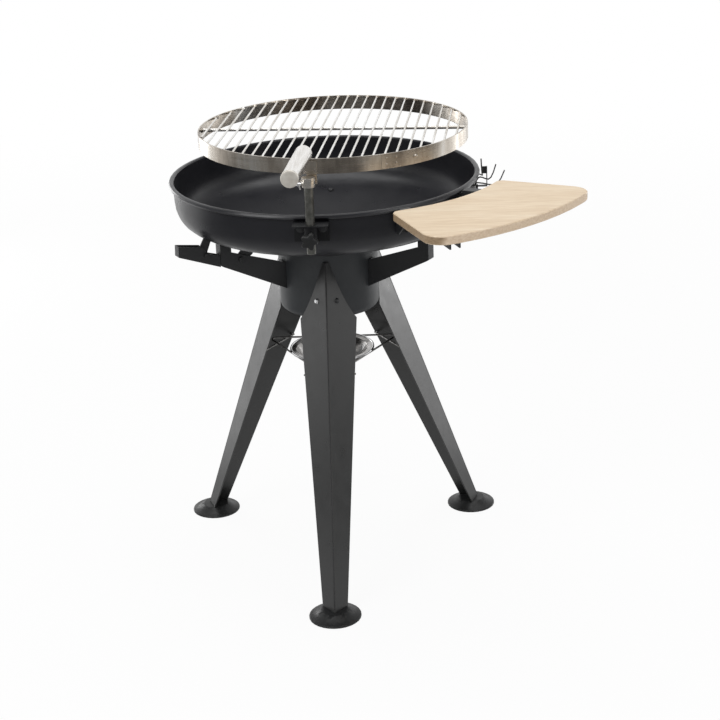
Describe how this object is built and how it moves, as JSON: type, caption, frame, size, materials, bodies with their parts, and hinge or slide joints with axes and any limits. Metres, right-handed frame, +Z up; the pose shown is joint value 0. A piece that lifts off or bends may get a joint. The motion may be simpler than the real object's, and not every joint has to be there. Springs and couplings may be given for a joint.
{
  "type": "charcoal grill with swivel grate",
  "caption": "Round charcoal bowl on folded tripod legs, with a grate that slides and swivels on a side post, a shelf board, tool hooks and an ash dish.",
  "frame": {"origin": "on the floor, at the middle of the object's outline seen from above; the axis of bowl, pot and legs stands at x -0.0745, y 0.0929", "axes": "+Z up; -Y toward the front leg, the post and the grate's handle; +X toward the shelf side"},
  "size_m": [0.7842, 0.7657, 0.8913],
  "materials": {
    "black_enamel": "satin black enamel",
    "black_paint": "black powder coat",
    "stainless": "bright stainless steel",
    "brushed_metal": "brushed, light",
    "chrome": "plated, mirror-like",
    "black_plastic": "black, moulded",
    "beech": "light beech, oiled"
  },
  "bodies": {
    "stand": {"bowl": "black_enamel", "pot": "black_enamel", "leg_front": "black_paint", "leg_left": "black_paint", "leg_right": "black_paint", "arm_left": "black_paint", "arm_right": "black_paint", "arm_back": "black_paint", "arm_strap_left": "black_paint", "arm_bolt_left": "black_paint", "side_hanger": "black_paint", "hanger_strap": "black_paint", "hanger_bolt": "black_paint", "guide_bracket": "black_paint", "shelf_rail_front": "black_paint", "shelf_rail_back": "black_paint", "hook_plate": "black_paint", "guide_bolt_a": "black_paint", "guide_bolt_b": "black_paint", "rail_bolt_front": "black_paint", "rail_bolt_back": "black_paint", "bowl_bolt_left": "black_paint", "bowl_bolt_right": "black_paint", "bowl_bolt_back": "black_paint", "dish_frame": "brushed_metal", "dish_pin_front": "brushed_metal", "dish_pin_left": "brushed_metal", "dish_pin_right": "brushed_metal", "tool_hooks": "brushed_metal", "shelf_screw_front_a": "chrome", "shelf_screw_front_b": "chrome", "shelf_screw_back_a": "chrome", "shelf_screw_back_b": "chrome", "leg_bolt_front_a": "chrome", "leg_bolt_front_b": "chrome", "leg_bolt_left_a": "chrome", "leg_bolt_left_b": "chrome", "leg_bolt_right_a": "chrome", "leg_bolt_right_b": "chrome", "foot_front": "black_plastic", "foot_left": "black_plastic", "foot_right": "black_plastic", "shelf_board": "beech"},
    "post_body": {"post": "stainless"},
    "grate": {"grate_ring": "stainless", "grate_rods": "stainless", "grate_clip": "stainless", "handle_lug": "stainless", "handle_grip": "brushed_metal", "handle_cap": "brushed_metal"},
    "clip_screw": {"clip_bolt": "chrome"},
    "knob": {"clamp_knob": "black_plastic", "clamp_screw": "chrome"},
    "dish": {"ash_dish": "chrome"},
    "coal_grid": {"charcoal_grid": "black_paint"}
  },
  "joints": [
    {"name": "post_height", "type": "slide", "parent": "stand", "child": "post_body", "axis": [0, 0, 1], "range_m": [-0.05, 0.012]},
    {"name": "grate_swivel", "type": "hinge", "parent": "post_body", "child": "grate", "pos_m": [-0.0855, -0.2116, 0.8345], "axis": [0, 0, 1], "continuous": true},
    {"name": "clip_bolt_turn", "type": "hinge", "parent": "grate", "child": "clip_screw", "pos_m": [-0.10175, -0.22106, 0.8305], "axis": [-0.8643, -0.503, 0], "continuous": true},
    {"name": "knob_turn", "type": "hinge", "parent": "stand", "child": "knob", "pos_m": [-0.0855, -0.2116, 0.7345], "axis": [-0.0361, -0.9993, 0], "continuous": true},
    {"name": "dish_lift", "type": "slide", "parent": "stand", "child": "dish", "axis": [0, 0, 1], "range_m": [0, 0.07]},
    {"name": "grid_lift", "type": "slide", "parent": "stand", "child": "coal_grid", "axis": [0, 0, 1], "range_m": [0, 0.14]}
  ]
}
